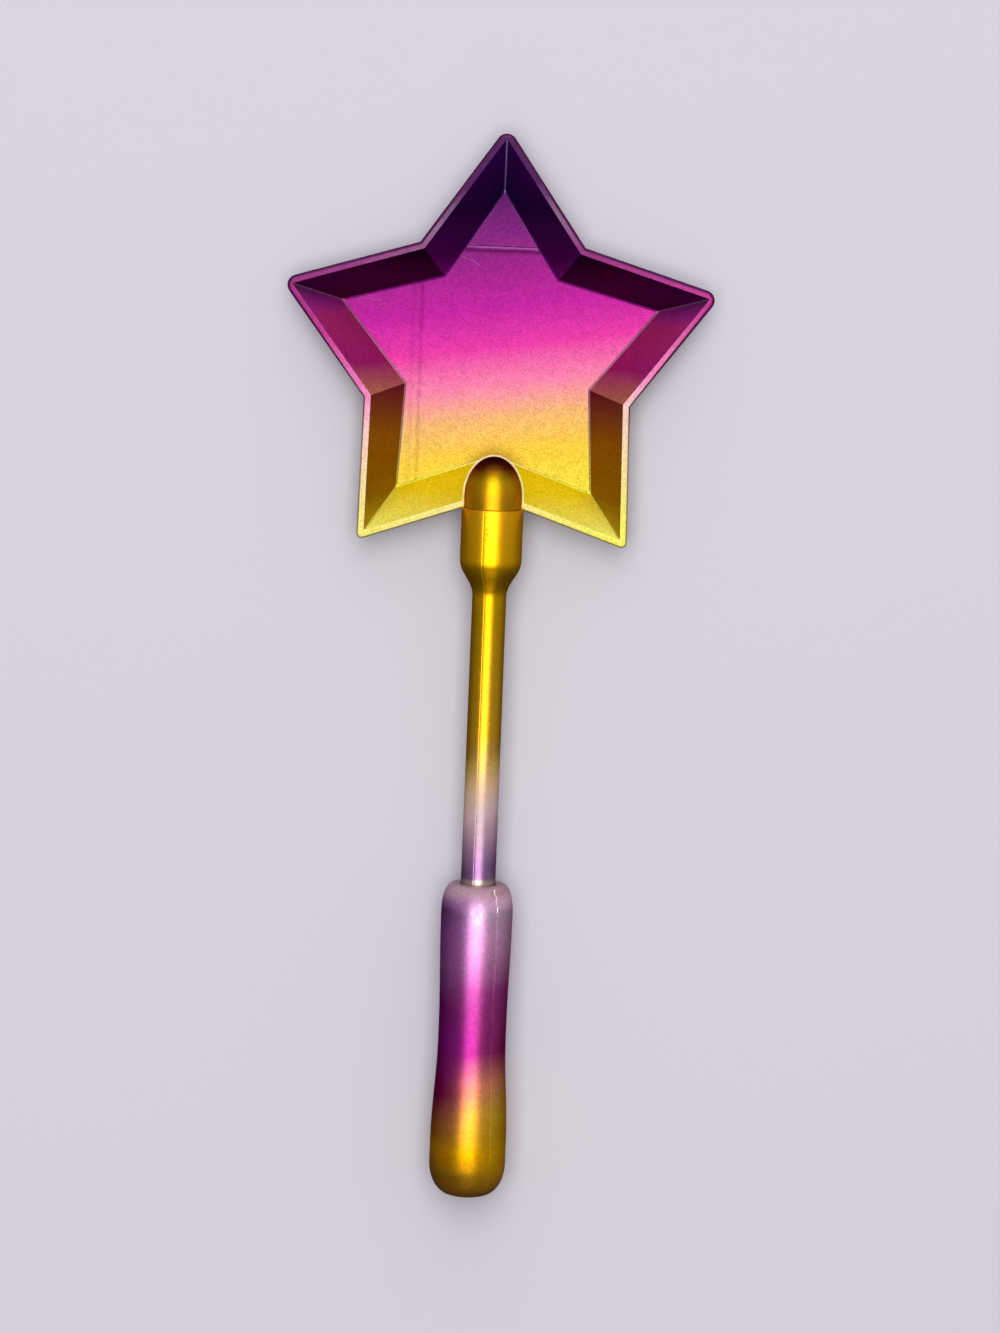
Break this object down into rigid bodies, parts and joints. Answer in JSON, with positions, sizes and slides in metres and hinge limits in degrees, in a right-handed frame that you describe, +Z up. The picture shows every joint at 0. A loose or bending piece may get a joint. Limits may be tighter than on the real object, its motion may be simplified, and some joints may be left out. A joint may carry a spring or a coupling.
{
  "type": "star party wand",
  "caption": "Hand-held party wand: an open star-shaped dish with a bullet-nosed plug on a slim bell-topped stem that turns in a waisted grip.",
  "frame": {"origin": "middle of the wand's box in plan, on the surface that it lies on", "axes": "+Y along the wand from the grip to the star's top point, +Z up out of the open dish, +X to the right seen from above"},
  "size_m": [0.1362, 0.3444, 0.0248],
  "materials": {
    "dish_shell": "metallised plastic, purple at the top point to gold at the lower points",
    "floor_foil": "fine-flaked colour-shift foil, purple through pink to gold",
    "plug": "polished gold metallising",
    "stem_shell": "gold metallising that fades to mauve at the grip",
    "grip_shell": "satin metallising, mauve to magenta to gold at the butt"
  },
  "bodies": {
    "star_head": {"star_dish": "dish_shell", "floor_foil": "floor_foil", "nose_plug": "plug"},
    "stem": {"stem_left_half": "stem_shell", "stem_right_half": "stem_shell"},
    "grip": {"grip_left_half": "grip_shell", "grip_right_half": "grip_shell"}
  },
  "joints": [
    {"name": "head_pull", "type": "slide", "parent": "star_head", "child": "stem", "axis": [0, -1, 0], "range_m": [0, 0.016]},
    {"name": "grip_turn", "type": "hinge", "parent": "stem", "child": "grip", "pos_m": [0, -0.0692, 0.0124], "axis": [0, 1, 0], "continuous": true}
  ]
}
